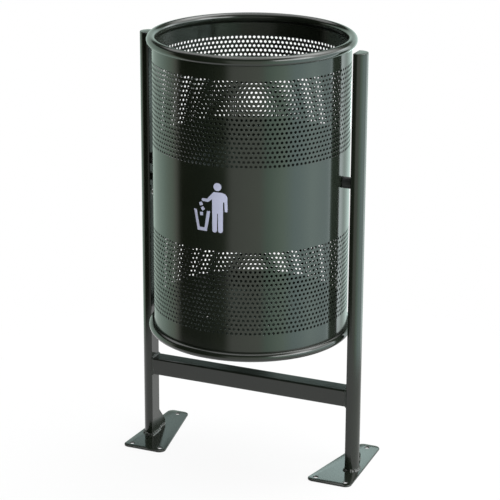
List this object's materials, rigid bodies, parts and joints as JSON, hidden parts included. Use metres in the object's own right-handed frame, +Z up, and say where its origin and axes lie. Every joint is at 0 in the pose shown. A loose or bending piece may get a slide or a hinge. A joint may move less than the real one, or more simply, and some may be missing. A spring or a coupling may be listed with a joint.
{
  "type": "tilting litter bin",
  "caption": "Round perforated steel litter bin that tips between two posts on bolted base plates, with tube rims, a crossbar and a quarter-turn lock.",
  "frame": {"origin": "on the ground, on the axis of the round bin, midway between the two posts", "axes": "+Z up; -Y is the front with the pictogram; X runs from post to post along the tipping axis"},
  "size_m": [0.4924, 0.4, 0.859],
  "materials": {
    "frame_coating": "satin powder coat, dark grey-green",
    "bin_coating": "satin powder coat, dark grey-green",
    "zinc_steel": "zinc-plated, dull",
    "black_nylon": "matt black",
    "pale_film": "pale lilac-grey adhesive film"
  },
  "bodies": {
    "frame": {"right_post": "frame_coating", "left_post": "frame_coating", "post_caps": "frame_coating", "right_base_plate": "frame_coating", "left_base_plate": "frame_coating", "foot_gussets": "frame_coating", "crossbar": "frame_coating", "pivot_bosses": "frame_coating", "pivot_spacers": "black_nylon", "pivot_bolts": "zinc_steel", "pivot_washers": "zinc_steel", "lock_keeper": "frame_coating"},
    "bin": {"body_sheet": "bin_coating", "top_ring": "bin_coating", "bottom_ring": "bin_coating", "floor_pan": "bin_coating", "pivot_plates": "bin_coating", "pivot_bushes": "black_nylon", "stop_block": "bin_coating", "lock_barrel": "zinc_steel", "lock_nut": "zinc_steel", "pictogram": "pale_film"},
    "lock": {"lock_spindle": "zinc_steel", "lock_cam": "zinc_steel", "lock_cam_screw": "zinc_steel"}
  },
  "joints": [
    {"name": "bin_tip", "type": "hinge", "parent": "frame", "child": "bin", "pos_m": [0, 0, 0.59], "axis": [1, 0, 0], "range_deg": [0, 135]},
    {"name": "lock_turn", "type": "hinge", "parent": "bin", "child": "lock", "pos_m": [-0.2, 0, 0.528], "axis": [-1, 0, 0], "range_deg": [0, 90]}
  ]
}
